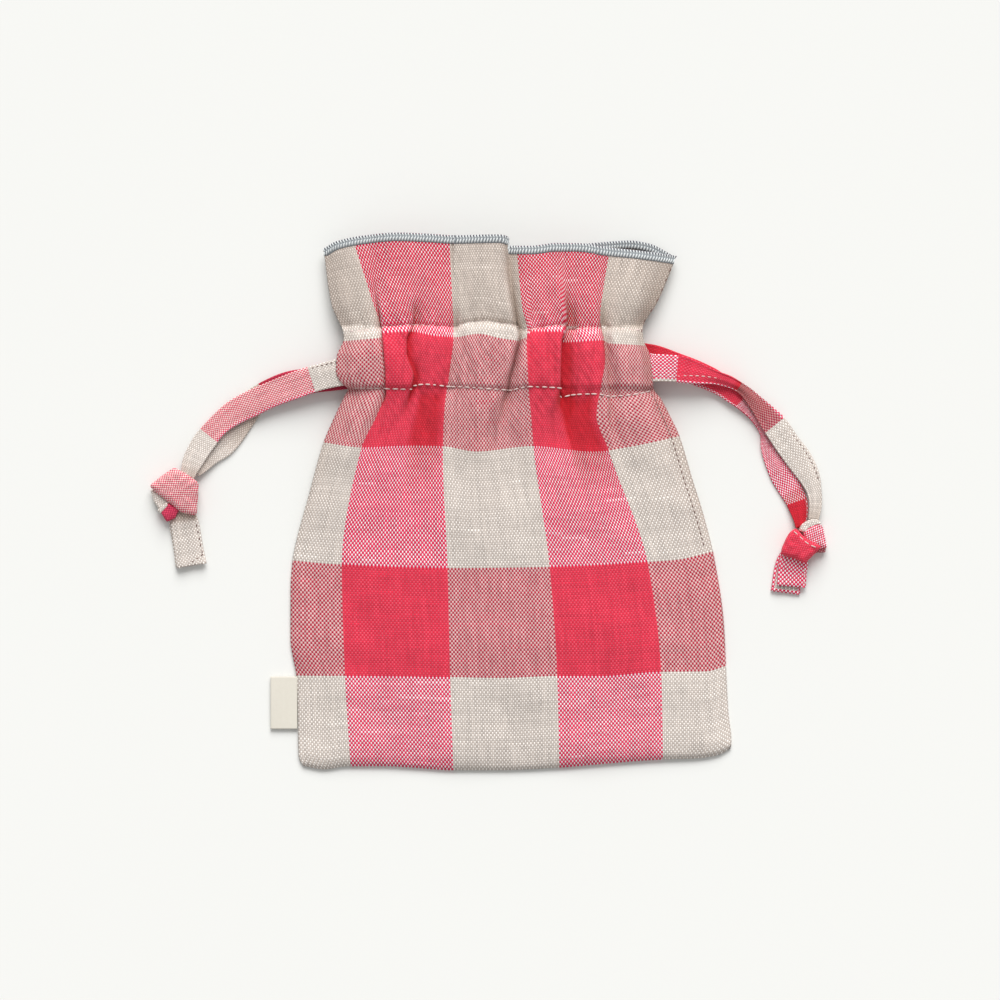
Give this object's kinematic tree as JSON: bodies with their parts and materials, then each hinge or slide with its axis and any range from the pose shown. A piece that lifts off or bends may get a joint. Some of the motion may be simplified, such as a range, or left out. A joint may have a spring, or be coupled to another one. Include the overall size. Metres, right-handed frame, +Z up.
{
  "type": "drawstring pouch",
  "caption": "Small checked linen drawstring pouch lying flat, with a gathered neck, a ruffle above its casing and a knotted flat tape at each side.",
  "frame": {"origin": "under the middle of the sewn pouch, free tapes, knots and tails left out, on the face that it rests on", "axes": "+Y from the bottom seam to the mouth, +Z up through both panels to the front face, +X to the right of the front face, the side without the label"},
  "size_m": [0.2636, 0.209, 0.0147],
  "materials": {
    "checked_linen": "plain weave, matt, red and natural check",
    "plain_linen": "plain weave, matt, undyed",
    "red_tape": "folded and sewn cloth tape, matt",
    "pale_tape": "folded and sewn cloth tape, matt",
    "overlock_thread": "spun thread, matt, grey-blue",
    "label_tape": "smooth woven tape, bare"
  },
  "bodies": {
    "root": {"front_panel": "checked_linen", "back_panel": "checked_linen", "front_casing_strip": "plain_linen", "back_casing_strip": "plain_linen", "front_hem_overlock": "overlock_thread", "back_hem_overlock": "overlock_thread", "side_label": "label_tape", "left_tape_casing_run": "pale_tape", "left_tape_front_strand": "pale_tape", "left_tape_back_strand": "pale_tape", "left_knot": "pale_tape", "left_tape_front_tail": "pale_tape", "left_tape_back_tail": "pale_tape", "right_tape_casing_run": "red_tape", "right_tape_front_strand": "red_tape", "right_tape_back_strand": "red_tape", "right_knot": "red_tape", "right_tape_front_tail": "red_tape", "right_tape_back_tail": "red_tape"}
  },
  "joints": []
}
